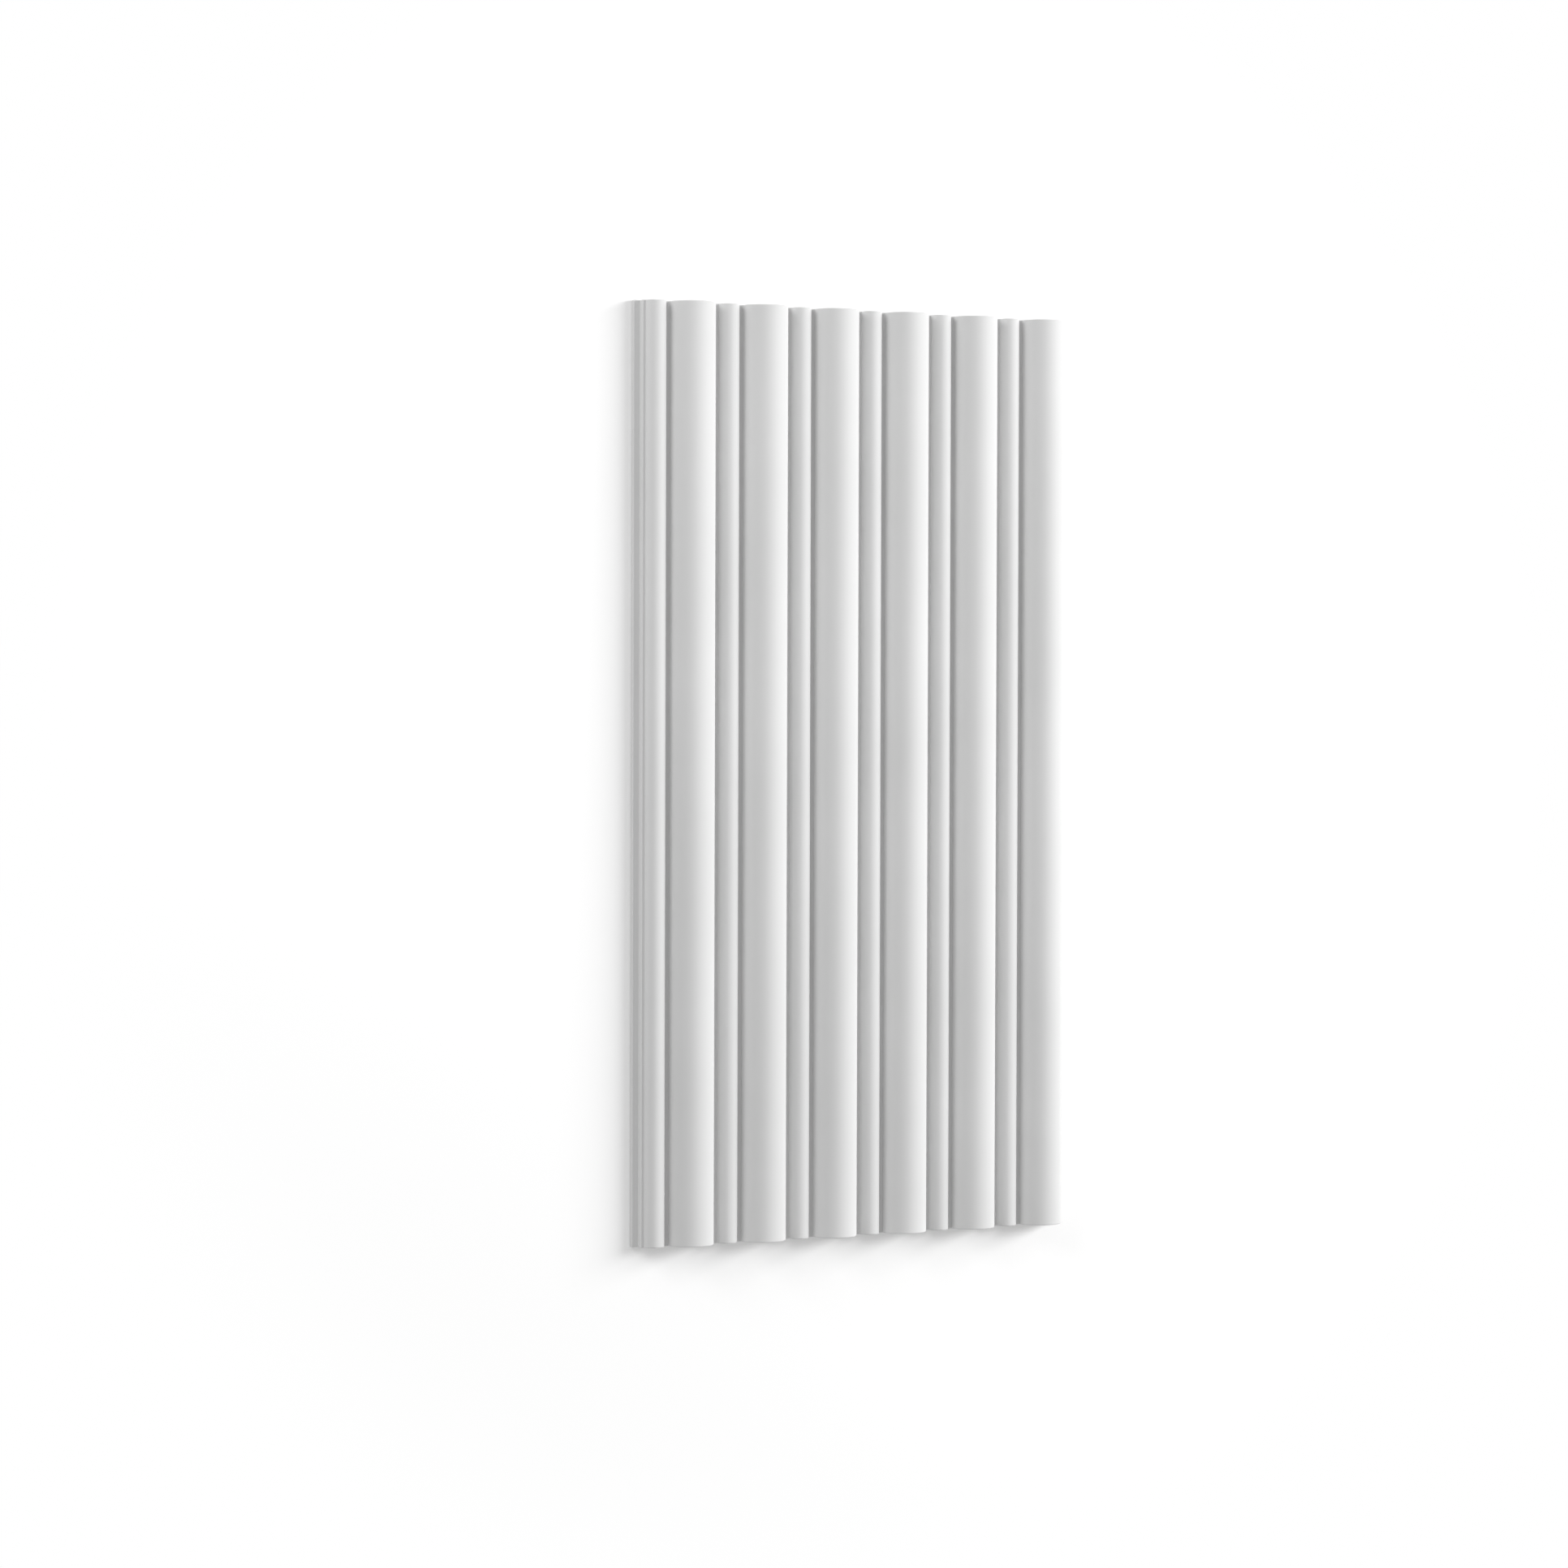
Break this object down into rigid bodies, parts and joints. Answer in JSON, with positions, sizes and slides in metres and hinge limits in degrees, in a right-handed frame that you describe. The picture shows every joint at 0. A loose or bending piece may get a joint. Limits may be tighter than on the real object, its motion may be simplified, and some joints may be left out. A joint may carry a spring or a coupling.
{
  "type": "fluted wall panel",
  "caption": "White fluted wall panel with alternating wide and narrow half-round reeds and a lap tongue along one long edge, glued flat to a wall.",
  "frame": {"origin": "under the middle of the panel's outline, on the plane of its back", "axes": "+X across the reeds from the tongue edge to the rebate edge, +Y along the reeds, +Z out of the reeded face"},
  "size_m": [0.2536, 0.48, 0.0186],
  "materials": {
    "primed_white": "matte"
  },
  "bodies": {
    "root": {"fluted_panel": "primed_white"}
  },
  "joints": []
}
